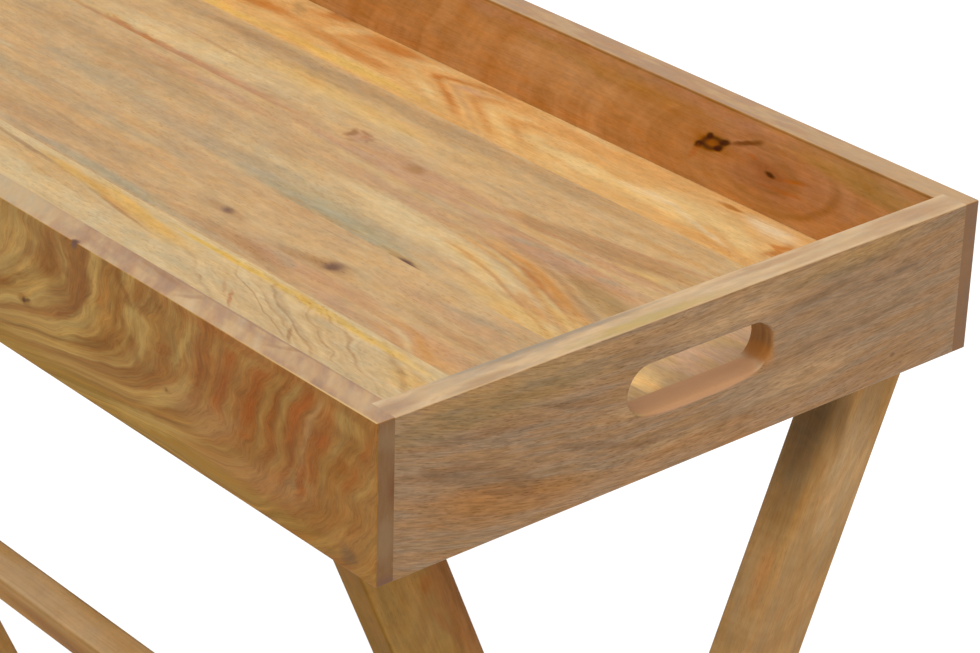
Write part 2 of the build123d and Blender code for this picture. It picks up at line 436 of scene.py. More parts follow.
# %% [markdown]
# ## Fibres, pores and lacquer
#
# Up close the wood shows fibres and open pores, and both press through the thin satin lacquer. The
# fibres only make the colour a little lighter or darker. The pores are short dark dashes: the
# cells of a Voronoi texture, drawn out along the grain, leave one dash in each.
#
# The edges of a board need two more layers. Its top edge shows the layers of the wood from another
# side, and a cut end shows the ends of the fibres, which drink more finish and so come out darker.

# %% Layers that every board shares
cool_cast = (0.94, 0.99, 1.06, 1)
no_cast = (1, 1, 1, 1)
warm_cast = (1.04, 0.99, 0.91, 1)
white_of_gloss = 0.14
tint_of_gloss = (1.0, 0.85, 0.65, 1)
fibre_depth = 0.00015


def fibres(wood, share=0.07, size=(55, 1.1, 1.1)):
    """Hair-thin lighter and darker lines along the grain."""
    value = wood.noise(size, 3.0, 0.6, shift=11.0)
    wood.mix(1.0, wood.ease(value, 0.25, 0.75, 1 - share, 1 + share), "MULTIPLY")
    wood.relief = value


def mottle(wood, share=0.05, size=(26, 9, 26)):
    """Soft clouds, where the fibres dip and rise, and others where the wood is warmer or greyer."""
    value = wood.noise(size, 4.0, 0.65, shift=15.0)
    wood.mix(1.0, wood.ease(value, 0.3, 0.7, 1 - share, 1 + share), "MULTIPLY")
    value = wood.noise([reach * 1.7 for reach in size], 2.0, 0.6, shift=19.0)
    casts = wood.ramp(wood.ease(value, 0.3, 0.7), (cool_cast, no_cast, warm_cast))
    wood.mix(0.6, casts, "MULTIPLY")


def pores(wood, share=0.35, size=(6.5, 0.75, 0.75)):
    """Short dark dashes, more of them where the growth was quick."""
    scale = Vector([1 / reach for reach in size])
    scaled = nudge(wood, wood.place, scale, wood.seed)
    away = wood.node("TexVoronoi", {"Vector": scaled, "Scale": 1.0}, "Distance")
    crowd = wood.ease(wood.noise((90, 8, 8), 1.0, shift=13.0), 0.35, 0.65, 0.25, 1.0)
    dash = wood.sum("MULTIPLY", wood.ease(away, 0.34, 0.14), crowd)
    wood.mix(wood.sum("MULTIPLY", dash, share), umber, "MULTIPLY")
    wood.relief = wood.sum("SUBTRACT", wood.relief, dash)


def facing(wood, direction, least=0.6, full=0.95):
    """A share that is 1 on faces that look one way along an axis of the room, or back along it."""
    normal = wood.node("TexCoord", out="Normal")
    along = wood.node("VectorMath", {0: normal, 1: direction}, "Value", operation="DOT_PRODUCT")
    return wood.ease(wood.sum("ABSOLUTE", along), least, full)


def undo_light(wood, light, share=1.0):
    """Takes the light that a face gets out of the colour that was asked for."""
    wood.mix(share, (*[1 / channel for channel in light], 1), "MULTIPLY")


def haze(gloss):
    """How much white a gloss lays over the colour of a board."""
    return (*[white_of_gloss * gloss] * 3, 1)


def lacquer(wood, light, gloss=0.2, roughness=0.5, sheen=0.06):
    """The satin finish: it takes the studio's light and its own white haze out of the colour that
    was asked for, closes the material and returns it."""
    wood.mix(1.0, haze(gloss), "SUBTRACT")
    undo_light(wood, light)
    cloudy = wood.ease(wood.noise((60, 30, 30), 2.0, shift=17.0), 0.3, 0.7, -sheen, sheen)
    uneven = wood.sum("ADD", cloudy, roughness)
    raised = wood.node("Bump", {"Strength": 0.25, "Distance": fibre_depth, "Height": wood.relief})
    sockets = {"Base Color": wood.colour, "Roughness": uneven, "Normal": raised}
    shader = wood.node("BsdfPrincipled", sockets)
    shader.node.inputs["Specular IOR Level"].default_value = gloss
    shader.node.inputs["Specular Tint"].default_value = tint_of_gloss
    output = wood.tree.nodes.new("ShaderNodeOutputMaterial")
    wood.tree.links.new(shader, output.inputs["Surface"])
    return wood.material


def dress(node_name, material):
    """Gives a piece of the construction its finish."""
    for slot in frame["nodes"][node_name].material_slots:
        slot.material = material
    print(node_name, "gets", material.name)


# The red, green and blue light that each face gets. At 1 a tone looks as it was named.
light_on_base = (1.21, 1.18, 1.10)
light_on_plank_six = (1.04, 0.93, 0.74)
light_on_near = (1.16, 1.16, 1.44)
light_on_ends = (1.00, 1.03, 1.06)
light_on_far = (0.86, 0.75, 0.47)
light_on_tops = (1.22, 1.20, 1.16)
light_on_stand = (0.90, 0.91, 0.88)

# %% [markdown]
# ## The base planks
#
# The base is six planks, glued edge to edge. Seen from the middle of the room they are one warm
# honey floor, but each plank has a face of its own, so each is mixed separately. The one at the
# back is the boldest: the saw met the growth rings where they fold, and left a dark arrowhead with
# pale bands beside it.

# %% Plank 6, the figured one at the back
def base_wood(name, seed, tones, drift=14):
    """Starts a plank of the base, whose places are those of the tray itself."""
    wood = Timber(name, seed)
    wander(wood, drift)
    streaks(wood, tones)
    return wood


def finish_base(wood, node_name, light=light_on_base):
    """Adds what every plank of the base shares, and dresses it."""
    fibres(wood, 0.07, (26, 1.3, 1.3))
    mottle(wood, 0.06)
    mottle(wood, 0.06, (8, 3, 8))
    pores(wood)
    dress(node_name, lacquer(wood, light))


def arrowhead(wood, at, turn, blunt, spread):
    """A field of nested arrowheads that point along -X: rings that the saw met at their fold. It is
    0 at the tip of the middle one and grows inside it."""
    sockets = {"Vector": wood.place, "Location": (*at, 0), "Rotation": (0, 0, radians(turn))}
    local = wood.node("Mapping", sockets, vector_type="TEXTURE")
    along, across, through = wood.parts(local)
    wide = wood.sum("MULTIPLY", across, spread)
    arms = wood.sum("SQRT", wood.sum("MULTIPLY_ADD", wide, wide, blunt * blunt))
    return wood.sum("ADD", wood.sum("SUBTRACT", along, arms), blunt)


plank = base_wood("plank_six_wood", 6, (amber, honey, honey, straw))
stains(plank, (
    ((-160, 133), (100, 6), gold, 0.7),
    ((-30, 136), (110, 7), gold, 0.8, -1),
    ((-145, 156), (52, 11), flame, 0.9, 2),
    ((-92, 179), (28, 8), flame, 0.9, 14),
    ((-118, 169), (17, 6), olive, 0.7, -28),
    ((-108, 178), (14, 7), honey, 0.7),
    ((-72, 168), (26, 8), straw, 0.9, 36),
    ((-92, 154), (22, 5), honey, 0.6, 15),
    ((-35, 150), (75, 9), flame, 0.75, -3),
    ((-32, 174), (46, 11), flame, 0.75),
    ((-28, 172), (26, 5), rust, 0.35),
    ((118, 166), (14, 20), honey, 0.5, 20),
    ((150, 172), (60, 8), amber, 0.6),
    ((185, 147), (90, 9), straw, 0.8, -1),
    ((255, 155), (60, 15), straw, 0.7),
    ((225, 151), (34, 5), cream, 0.5, 2),
    ((280, 142), (50, 3), cream, 0.5, -14),
    ((300, 172), (34, 11), cream, 0.8, -6),
    ((300, 148), (40, 9), straw, 0.6, -24),
    ((290, 134), (60, 5), amber, 0.7),
    ((212, 170), (40, 6), amber, 0.35, 4),
))
fold = arrowhead(plank, (15, 167), -6, 14, 3.0)
folded = patch(plank, (68, 158), (112, 30), -10)
ribbons(plank, fold, folded, (
    (-24, 13, straw, 0.9),
    (5, 11, flame, 0.95),
    (24, 8, clay, 0.5),
    (42, 11, flame, 0.5),
    (66, 12, straw, 0.6),
    (90, 11, flame, 0.45),
    (114, 12, straw, 0.6),
    (138, 10, flame, 0.3),
))
stains(plank, (
    ((50, 168), (18, 6), rose, 0.45),
    ((-70, 158), (90, 24), flame, 0.28),
    ((60, 178), (34, 4), flame, 0.5),
    ((19, 167), (9, 5), rust, 0.35, -14),
    ((265, 175.5), (15, 3.2), copper, 1.0),
    ((322, 157), (9, 13), flame, 0.9, 10),
))
finish_base(plank, "base_plank_6", light_on_plank_six)

# %% [markdown]
# The next planks are quieter. Their colour lies in long stains, and here and there a branch left a
# knot, round which the grain has to flow.

# %% Plank 5, with a ring knot
plank = Timber("plank_five_wood", 5)
wander(plank, 14)
flow_round(plank, (66, 72), (40, 13))
flow_round(plank, (118, 69), (28, 9))
streaks(plank, (tan, sand, sand, straw))
stains(plank, (
    ((-60, 118), (320, 12), ash, 0.8),
    ((180, 121), (170, 10), ash, 0.6),
    ((-100, 118), (60, 5), umber, 0.3),
    ((-30, 109), (50, 4), olive, 0.35, 2),
    ((25, 98), (110, 13), straw, 0.7),
    ((10, 92), (150, 9), cream, 0.4),
    ((-90, 80), (150, 11), cream, 0.7),
    ((-120, 72), (110, 5.5), cream, 0.6),
    ((-100, 91), (60, 2.2), clay, 0.5, -1),
    ((-20, 104), (20, 4), honey, 0.5),
    ((-110, 64), (170, 4.6), blush, 0.8),
    ((-40, 66), (120, 6), rose, 0.5),
    ((-162, 66), (26, 3.6), flame, 0.5, -12),
    ((-132, 63), (18, 4), flame, 0.5, -16),
    ((160, 98), (90, 8), sand, 0.5),
    ((110, 68), (74, 14), rose, 0.75),
    ((170, 70), (60, 10), rose, 0.55),
    ((88, 57), (22, 5), umber, 0.4, 12),
    ((215, 73), (24, 8), umber, 0.45),
    ((270, 84), (100, 13), clay, 0.7, 8),
    ((300, 94), (60, 4), umber, 0.2, 9),
    ((250, 82), (60, 3), umber, 0.2, 8),
    ((286, 84), (60, 2.4), umber, 0.3, 8),
    ((310, 100), (60, 2.4), blush, 0.4, 10),
    ((270, 92), (50, 2.4), blush, 0.4, 9),
    ((240, 73), (60, 3), blush, 0.4, 5),
    ((300, 74), (60, 3), blush, 0.4, 5),
    ((285, 70), (60, 6), rose, 0.6, 3),
    ((199, 75), (12, 8), amber, 0.4),
    ((240, 67.5), (44, 3.2), honey, 0.5, 3),
    ((280, 108), (70, 4), honey, 0.5, 2),
    # Painted light at the right end, where the end board shades the plank.
    ((388, 80), (20, 60), blush_with_painted_light, 0.6),
    ((64, 73), (15, 10), rose, 0.8),
    ((56, 73), (4.5, 8), umber, 0.75, 8),
    ((63, 79), (9, 2.8), umber, 0.6, -8),
    ((72, 73), (3, 6), umber, 0.35),
    ((65, 66), (8, 2.2), umber, 0.4, 6),
    ((67, 74), (4, 3), blush, 0.6),
    ((60, 60), (9, 3.4), umber, 0.4),
    ((119, 69), (11, 8), umber, 0.5),
    ((119, 69), (5, 4), olive, 0.4),
))
finish_base(plank, "base_plank_5")

# %% Plank 4, from grey-green to flame
plank = base_wood("plank_four_wood", 4, (tan, sand, tan, pale))
stains(plank, (
    ((-130, 38), (150, 17), ash, 0.7),
    ((-100, 8), (90, 13), slate, 0.4),
    ((-40, 30), (60, 8), olive, 0.2),
    ((110, 59), (130, 8), rose, 0.7),
    ((-60, 50), (120, 8), rose, 0.5),
    ((-84, 45), (40, 4), umber, 0.25, 8),
    ((260, 54), (100, 16), rose, 0.9),
    ((232, 56), (24, 4), stone, 0.8, 14),
    ((262, 61), (24, 4), slate, 0.4, 12),
    ((292, 57), (18, 4), slate, 0.4, 14),
    ((300, 51), (26, 4), blush, 0.3, 4),
    ((130, 40), (90, 8), rose, 0.5, -2),
    ((60, 17), (80, 10), pale, 0.6),
    ((190, 21), (110, 16), cream, 0.9, -3),
    ((240, 16), (50, 12), straw, 0.8, -12),
    ((138, 27), (60, 8), cream, 0.7),
    ((310, 40), (50, 13), olive, 0.7, -8),
    ((285, 44), (30, 6), umber, 0.3, -14),
    ((300, -5), (80, 12), straw, 0.9, -3),
    ((110, 2), (130, 17), slate, 0.5),
    ((210, 11), (140, 8), cream, 0.5),
    ((-10, 28), (110, 9), stone, 0.5),
    ((120, -4), (120, 12), slate, 0.7),
    ((170, -8), (76, 8), slate, 0.7),
    ((150, -10), (60, 3), olive, 0.3),
    ((20, 0), (120, 12), stone, 0.6),
    ((110, -10), (22, 3), olive, 0.35, 8),
    ((207, -11), (26, 4), olive, 0.6, -4),
    # Painted light at the right end, where the end board shades the plank: this row and the next.
    ((384, -6), (26, 14), painted_light_honey, 1.0),
    ((388, 36), (20, 34), blush_with_painted_light, 0.7),
))
along, across, through = plank.parts(plank.place)
fall_start = 176.0
fall_rate = 0.0014
beyond = plank.sum("MAXIMUM", plank.sum("SUBTRACT", along, fall_start), 0.0)
falling = plank.sum("MULTIPLY_ADD", plank.sum("MULTIPLY", beyond, beyond), fall_rate, across)
right_half = patch(plank, (280, 22), (110, 48))
ribbons(plank, falling, right_half, (
    (52, 4.0, umber, 0.6),
    (45, 6.0, amber, 0.95),
    (40, 2.4, flame, 0.6),
    (36, 3.0, straw, 0.8),
    (34, 3.0, amber, 0.55),
    (28, 2.6, cream, 0.6),
    (23, 2.2, flame, 0.5),
    (17, 2.0, cream, 0.5),
    (12, 1.6, amber, 0.45),
))
stains(plank, (
    ((268, 27), (22, 7), flame, 0.45, -28),
    ((292, 6), (34, 5), amber, 0.7, -16),
    ((338, 7), (56, 11), straw, 0.6, -9),
    ((213, -12), (13, 2.6), dusk, 0.95, -4),
))
finish_base(plank, "base_plank_4")

# %% Plank 3, with two dark knots
plank = Timber("plank_three_wood", 3)
wander(plank, 14)
flow_round(plank, (98, -48), (30, 9))
flow_round(plank, (192, -46), (36, 12))
streaks(plank, (tan, sand, tan, sand))
stains(plank, (
    ((120, -40), (130, 20), sand, 0.35),
    ((-150, -30), (70, 12), slate, 0.4),
    ((-20, -26), (90, 6), slate, 0.3, 2),
    ((-90, -62), (70, 8), clay, 0.4),
    ((-40, -38), (120, 5), honey, 0.35),
    ((-60, -46), (30, 2.6), dusk, 0.22, -6),
    ((-60, -52), (160, 8), ash, 0.6),
    ((10, -73), (190, 6), stone, 0.8),
    ((40, -74), (120, 3), slate, 0.4),
    ((140, -68), (90, 11), clay, 0.7),
    ((150, -66), (36, 9), umber, 0.3),
    ((200, -62), (80, 12), rose, 0.7),
    ((30, -72), (90, 7), slate, 0.55),
    ((170, -62), (18, 5), stone, 0.5, -16),
    ((225, -68), (60, 8), sand, 0.6),
    ((225, -72), (34, 8), rose, 0.6, -8),
    ((290, -68), (60, 15), flesh, 0.8, 4),
    ((302, -72), (40, 9), honey, 0.4),
    ((300, -48), (60, 6), clay, 0.6, -2),
    ((270, -33), (70, 9), rose, 0.4),
    ((290, -26), (40, 4), stone, 0.8, 4),
    ((170, -51), (32, 6), umber, 0.5, 8),
    ((192, -46), (22, 11), umber, 0.4),
    ((97, -48), (26, 6), umber, 0.45),
))
curl = distance_from(plank, (255, -98), (1.5, 1.0), place=plank.place)
curled = patch(plank, (286, -66), (52, 17))
ribbons(plank, curl, curled, (
    (15, 2.6, amber, 0.7),
    (20, 2.6, cream, 0.8),
    (26, 3.0, amber, 0.7),
    (32, 3.0, cream, 0.7),
    (39, 3.4, amber, 0.6),
))
stain(plank, (192, -46), (9.5, 8.5), dusk, 0.8, fray=0.4, core=0.1)
stain(plank, (100, -48), (8, 4.2), dusk, 0.7, fray=0.4, core=0.1)
finish_base(plank, "base_plank_3")

# %% Plank 2, pale, with a yellow streak along its glue line
plank = base_wood("plank_two_wood", 2, (pale, cream, pale, cream))
stains(plank, (
    ((230, -83), (120, 4.6), seam_gold, 0.8, -1),
    ((140, -83), (60, 2.6), seam_gold, 0.8),
    ((70, -86), (60, 5), seam_gold, 0.5, -9),
    ((60, -88), (110, 8), straw, 0.7, -3),
    ((78, -90), (76, 10), gold, 0.55, -7),
    ((50, -90), (50, 4), amber, 0.5, -10),
    ((10, -86), (60, 5), gold, 0.6, -4),
    ((312, -97), (26, 13), gold, 0.6),
    ((-20, -94), (120, 9), honey, 0.5, -4),
    ((-40, -86), (60, 2.4), umber, 0.6, -3),
    ((150, -106), (90, 13), pale, 0.6),
))
along, across, through = plank.parts(plank.place)
wave_height = 24.0
slant = 0.42
waves = plank.sum("MULTIPLY_ADD", plank.noise((40, 24, 40), 2.5, shift=23.0), wave_height, across)
slanted = plank.sum("MULTIPLY_ADD", along, slant, waves)
figured = patch(plank, (235, -102), (150, 30))
for width, shift, colour, share in (
    (3.4, 0.0, clay, 0.4),
    (6.5, 2.0, umber, 0.2),
    (4.6, 4.0, cream, 0.6),
):
    contours = bands(plank, slanted, width, wobble=0.3, shift=shift, detail=1.0)
    plank.tint(plank.sum("MULTIPLY", contours, figured), share, colour)
ribbons(plank, slanted, figured, (
    (6, 1.5, umber, 0.5),
    (-7, 1.3, umber, 0.45),
    (18, 1.3, umber, 0.4),
    (28, 1.2, clay, 0.6),
))
stains(plank, (
    ((189, -112), (16, 1.8), blush, 0.7, -42),
    ((176, -106), (14, 1.6), blush, 0.4, -36),
    ((241, -113), (14, 1.8), umber, 0.6, -40),
    ((60, -94), (50, 1.8), umber, 0.5, -6),
))
finish_base(plank, "base_plank_2")

# %% Plank 1, behind the near board
plank = base_wood("plank_one_wood", 1, (tan, sand, pale, sand))
stains(plank, (
    ((-120, -160), (160, 9), amber, 0.5),
    ((150, -150), (120, 6), ash, 0.7),
))
knot(plank, (-40, -158), 6.0, dusk, umber)
finish_base(plank, "base_plank_1")

# %% [markdown]
# ## Top edges and cut ends
#
# A board is one piece, but its top edge and its cut ends look different from its face, and they get
# more or less light. Separate materials would need separate faces. Here one material does it: the
# face is mixed first and kept, the edge is mixed as a board of its own, and the direction in which a
# surface looks decides which of the two shows.

# %% Layers for top edges and cut ends
up = (0, 0, 1)
along_tray = (1, 0, 0)
across_tray = (0, 1, 0)
side_height = 86.0
edge_gloss = 0.2
slanting = 0.7071


def from_above(wood, place):
    """The same place, with the way through the board in the place of its height."""
    along, height, through = wood.parts(place)
    return wood.join(along, through, height)


def lay_on(wood, direction, light_there, light, share=1.0):
    """Lays the colour mixed last on the faces that look one way, over the one that was there before.
    Those faces get another light than the rest of the board, whose light the lacquer undoes."""
    wood.mix(1.0, haze(edge_gloss), "SUBTRACT")
    undo_light(wood, [there / here for there, here in zip(light_there, light)])
    wood.mix(1.0, haze(edge_gloss), "ADD")
    mixed = wood.colour
    wood.colour = wood.kept_colour
    wood.tint(facing(wood, direction), share, mixed)


def top_edge(wood, tones, light, spots=(), size=(90, 7, 7), slant=0):
    """Mixes the top edge by itself, as it looks from above, and lays it on the faces that look up."""
    wood.kept_colour = wood.colour
    face_steady, face_place = wood.steady, wood.place
    wood.steady, wood.place = from_above(wood, face_steady), from_above(wood, face_place)
    if slant:
        slanted = {"Vector": wood.steady, "Rotation": (0, 0, radians(slant))}
        wood.place = wood.node("Mapping", slanted)
    streaks(wood, tones, size, 0.26)
    stains(wood, spots)
    mottle(wood, 0.04, (9, 3, 9))
    wood.steady, wood.place = face_steady, face_place
    lay_on(wood, up, light_on_tops, light)


def cut_ends(wood, direction, tones, light, spots=(), share=0.9):
    """Mixes the faces that look along the grain, where the cut fibres drank more finish."""
    wood.kept_colour = wood.colour
    cloudy = wood.noise((22, 30, 4), 3.0, shift=21.0)
    wood.colour = wood.ramp(wood.ease(cloudy, 0.25, 0.75), tones)
    stains(wood, spots)
    lay_on(wood, direction, light_on_ends, light, share)


def painted_edge_highlight(wood, direction, colour, share):
    """Paints a highlight on the rounded top edge of the rim, on the faces that look the given way."""
    along, height, through = wood.parts(wood.steady)
    on_rim = wood.sum("MULTIPLY", wood.ease(height, side_height - 3, side_height - 1), share)
    wood.tint(facing(wood, direction, 0.9, 0.99), on_rim, colour)


print("edge helpers:", top_edge.__name__, cut_ends.__name__, painted_edge_highlight.__name__)

# %% Name the colours of the edges and ends
edge_sand = tone(204, 167, 126)
edge_rose = tone(192, 152, 118)
edge_pale = tone(212, 180, 140)
edge_grey = tone(180, 154, 128)
edge_mauve = tone(170, 136, 112)
edge_slate = tone(166, 150, 128)
edge_umber = tone(158, 118, 90)
edge_cream = tone(203, 174, 135)
edge_pink = tone(188, 153, 122)
edge_glow = tone(226, 192, 150)
end_grey = tone(138, 112, 86)
end_brown = tone(124, 93, 66)
end_mauve = tone(128, 98, 74)
end_red = tone(116, 78, 58)
end_dusk = tone(118, 97, 84)
knot_brown = tone(92, 60, 28)
print("end brown in linear light:", [round(v, 3) for v in end_brown])

# %% [markdown]
# ## The long boards
#
# The near board has the boldest figure of all. Its bands come straight down from the top edge,
# sweep to the left and lie almost flat along the bottom. Such a shape could be drawn curve by curve,
# but one formula does it: a band is where the place along the board, plus a push that grows quickly
# towards the bottom, has the same value. Further right the bands stay upright for longer and reach
# less far. A broad noise and a fine one then make them swirl. The fibres read the same field, so
# they follow the bands.

# %% The sweep of the near board's rings
skirt_edge = (0, 0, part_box("tray_side_front")[0].z)
side_frame = {"along": along_tray, "across": up, "middle": skirt_edge}
gentle_turn = 2.4
late_turn = 4.2
long_reach = 165.0
short_reach = 45.0
lean_at_top = -10.0
swirl_push = 34.0
ripple_push = 7.0
curl_push = 28.0

board = Timber("near_side_wood", 11, **side_frame)
wander(board, 7, (80, 40, 40))
length, height, depth = board.parts(board.place)
below_top = board.sum("MULTIPLY_ADD", height, -1 / side_height, 1.0)
hold = board.ease(length, 110.0, 240.0, gentle_turn, late_turn)
push = board.sum("POWER", board.sum("MAXIMUM", below_top, 0.0), hold)
reach = board.ease(length, 210.0, 330.0, long_reach, short_reach)
top_lean = board.ease(below_top, 0.0, 0.45, lean_at_top, 0.0)
leaning = board.sum("MULTIPLY", top_lean, board.ease(length, 270.0, 320.0))
sweep = board.sum("ADD", board.sum("MULTIPLY_ADD", push, reach, length), leaning)
swirl = board.noise((60, 30, 48), 1.6, shift=31.0)
ripple = board.noise((18, 12, 18), 2.0, shift=37.0)
loose = board.sum("MULTIPLY_ADD", swirl, swirl_push, sweep)
loose = board.sum("MULTIPLY_ADD", ripple, ripple_push, loose)
centred = board.sum("SUBTRACT", sweep, curl_push / 2)
waving = board.sum("MULTIPLY_ADD", swirl, curl_push, centred)
board.place = board.join(height, loose, depth)
print("the bands reach", long_reach, "mm at the left and", short_reach, "mm at the right")

# %% The near board's bands and stains
streaks(board, (bronze, brass, bronze, chestnut, brass), (40, 17, 30), 0.34, 2.0)
board.mix(board.ease(length, 190.0, 320.0, 0.0, 0.6), russet_gold)
dark_bands = bands(board, loose, 24.0, wobble=0.4, detail=2.0)
more_above = board.ease(height, 8.0, 44.0, 0.15, 0.42)
board.tint(dark_bands, more_above, chestnut)
fine_bands = bands(board, loose, 6.0, wobble=0.5, shift=5.0, detail=2.0)
board.tint(fine_bands, 0.14, chestnut)
red_part = patch(board, (330, 54), (90, 34))
board.tint(red_part, 0.3, russet)
stains(board, (
    ((112, 64), (40, 28), brass, 0.6, 10),
    ((180, 66), (30, 12), chestnut, 0.8, 80),
    ((203, 62), (26, 8), golden_orange, 0.5, 88),
    ((178, 40), (34, 7), brass, 0.5, 48),
    ((126, 24), (84, 15), brass, 0.5, 8),
    ((140, 10), (150, 9), bronze, 0.45, 4),
    ((232, 62), (20, 12), brass, 0.5, -30),
    ((200, 34), (28, 9), chestnut, 0.5, 30),
    ((258, 33), (36, 7), brass, 0.8, 34),
    ((285, 34), (50, 14), umber, 0.5),
    ((330, 18), (70, 12), umber, 0.5, 14),
))
ribbons(board, sweep, 1.0, (
    (184, 6.0, chestnut, 0.7),
    (188, 2.6, russet, 0.4),
    (197, 4.5, brass, 0.6),
    (218, 3.4, chestnut, 0.6),
    (228, 4.0, brass, 0.4),
    (160, 2.6, chestnut, 0.3),
    (140, 2.4, chestnut, 0.35),
    (126, 2.0, chestnut, 0.3),
))
stains(board, (
    ((222, 76), (16, 3.4), chestnut, 0.7, -48),
    ((240, 74), (15, 3.6), chestnut, 0.7, 50),
    ((250, 80), (12, 4.0), chestnut, 0.5, -50),
    ((230, 66), (10, 6.0), brass, 0.5),
    ((254, 56), (12, 4.5), russet, 0.5, 20),
    ((270, 64), (22, 3.4), brass, 0.6, 62),
))
print("near board: nodes so far", len(board.tree.nodes))

# %% [markdown]
# Towards the corner the rings were cut where they curl, and red and brass bands stand side by side.
# They follow the same sweep, a little more loosely, and another noise breaks them into pieces.

# %% The red curls at the near board's right end
broken = board.ease(board.noise((15, 34, 30), 2.0, shift=41.0), 0.3, 0.6, 0.4, 1.0)
curled = board.sum("MULTIPLY", patch(board, (345, 57), (104, 34), core=0.5), broken)
ribbons(board, waving, curled, (
    (285, 7.5, russet, 0.75),
    (295, 4.5, brass, 0.3),
    (305, 7.0, red_curl, 0.8),
    (315, 4.5, brass, 0.25),
    (325, 7.0, red_curl, 0.9),
    (336, 5.0, brass, 0.35),
    (344, 3.6, russet, 0.7),
    (350, 4.0, brass, 0.4),
    (359, 5.0, red_curl, 0.8),
    (367, 3.0, edge_sand, 0.3),
    (376, 7.5, red_curl, 0.8),
    (386, 5.0, brass, 0.4),
    (395, 4.0, chestnut, 0.7),
    (405, 5.0, red_curl, 0.7),
    (414, 4.0, brass, 0.5),
    (422, 4.0, russet, 0.5),
))
stains(board, (
    ((364, 32), (16, 6.0), red_curl, 0.7, 80),
    ((290, 57), (26, 13), russet, 0.4),
    ((326, 56), (17, 5), red_curl, 0.5, 84),
    ((356, 54), (20, 8), russet, 0.55, 76),
    ((394, 52), (9, 7), russet, 0.5),
    ((384, 48), (32, 9), chestnut, 0.35),
    ((398, 76), (20, 7), brass, 0.35),
    ((312, 83), (80, 4), red_curl, 0.35),
    ((160, 56), (14, 16), chestnut, 0.35),
    ((200, 6), (260, 9), moss, 0.75),
    ((240, 11), (50, 6), brass, 0.6, 8),
    ((398, 7), (9, 8), bark, 0.7, -40),
))
knot(board, (131, 35), 2.6, knot_brown, chestnut)
stain(board, (134, 36), (5, 1.4), knot_brown, 0.7, 26, fray=0.4)
knot(board, (256, 35), 1.8, knot_brown, bronze, 0.5)
print("near board: nodes with the curls", len(board.tree.nodes))

# %% The near board's edges and finish
# Longer than the board, so that a spot on its cut end reaches through the end however it frays.
through_end = 9000

mottle(board, 0.10, (20, 9, 16))
mottle(board, 0.08, (7, 3, 5))
fibres(board, 0.11, (20, 1.4, 1.4))
pores(board, 0.3, (4.5, 1.0, 1.0))
top_edge(board, (edge_mauve, edge_rose, edge_sand, edge_pale), light_on_near, (
    ((225, 188), (60, 6), edge_mauve, 0.45, 3),
    ((205, 194), (20, 5), edge_mauve, 0.4),
    ((176, 194), (24, 6), edge_mauve, 0.5),
    ((398, 192), (26, 9), edge_pale, 0.5),
    ((300, 188), (60, 4), edge_mauve, 0.4, 3),
    ((300, 184), (140, 1.6), edge_mauve, 0.7),
    ((350, 193), (70, 5), edge_sand, 0.5),
    ((110, 191), (68, 18), edge_cream, 1.0),
    ((232, 186), (34, 3.0), edge_umber, 0.5, 4),
    ((265, 190), (14, 3.4), edge_umber, 0.4, -40),
    ((338, 186), (20, 2.6), edge_umber, 0.4, -30),
    ((179, 200), (5, 3.4), dusk, 1.0),
), (34, 11, 20), -46)
cut_ends(board, along_tray, (end_brown, end_mauve, end_brown, end_grey), light_on_near, (
    ((0, 76, 192), (through_end, 10, 14), end_grey, 0.7),
    ((0, 50, 189), (through_end, 16, 7), end_red, 0.8),
    ((0, 24, 195), (through_end, 16, 8), end_grey, 0.8),
    ((0, 0, 192), (through_end, 7, 14), dusk, 0.6),
    ((0, 43, 183), (through_end, 60, 2.4), bark, 0.6),
))
# A painted highlight along the near rim's rounded outer top edge, stronger towards the corner.
painted_edge_highlight(board, (0, -slanting, slanting), edge_glow, board.ease(length, 250.0, 400.0, 0.08, 0.75))
stain(board, (179, 85, 200), (4, 4, 2.5), dusk, 1.0, 0, fray=0.4)
dress("tray_side_front", lacquer(board, light_on_near, 0.1))

# %% [markdown]
# The far board was sawn close to the heart of the tree, so its rings are flat ellipses round one
# small dark heart, and a branch beside it left a diamond of bark with two tails.

# %% The far long board's rings
board = Timber("far_side_wood", 12, **side_frame)
wander(board, 8, (160, 45, 45))
streaks(board, (copper, amber, copper, copper), (220, 20, 20))
board.mix(0.7, copper)
heart = (286, 57)
rings = distance_from(board, heart, (2.3, 1.0), 9, place=board.place)
for width, shift, colour, share in (
    (8.0, 0.0, chestnut_glow, 0.42),
    (11.0, 6.0, amber, 0.34),
    (2.6, 3.0, chestnut_glow, 0.18),
):
    figure = bands(board, rings, width, wobble=0.3, shift=shift)
    board.tint(figure, share, colour)
near_heart = patch(board, heart, (70, 30))
right_of_heart = patch(board, (308, 56), (52, 34))
board.tint(near_heart, 0.5, heart_glow)
ribbons(board, rings, right_of_heart, (
    (8, 3.4, chestnut, 0.55),
    (15, 2.6, copper, 0.4),
    (21, 2.6, chestnut, 0.55),
    (28, 3.0, blush, 0.25),
    (35, 2.4, rust, 0.4),
))
ribbon(board, rings, 45, 2.6, heart_brown, 0.4, patch(board, (360, 50), (50, 40)))
stains(board, (
    ((384, 60), (36, 40), amber, 0.8),
    ((120, 62), (90, 18), honey, 0.3),
    ((200, 80), (290, 6), blush, 0.35),
    ((290, 62), (100, 26), blush, 0.2),
    ((372, 43), (26, 7), heart_brown, 0.4),
))
print("far board: nodes so far", len(board.tree.nodes))

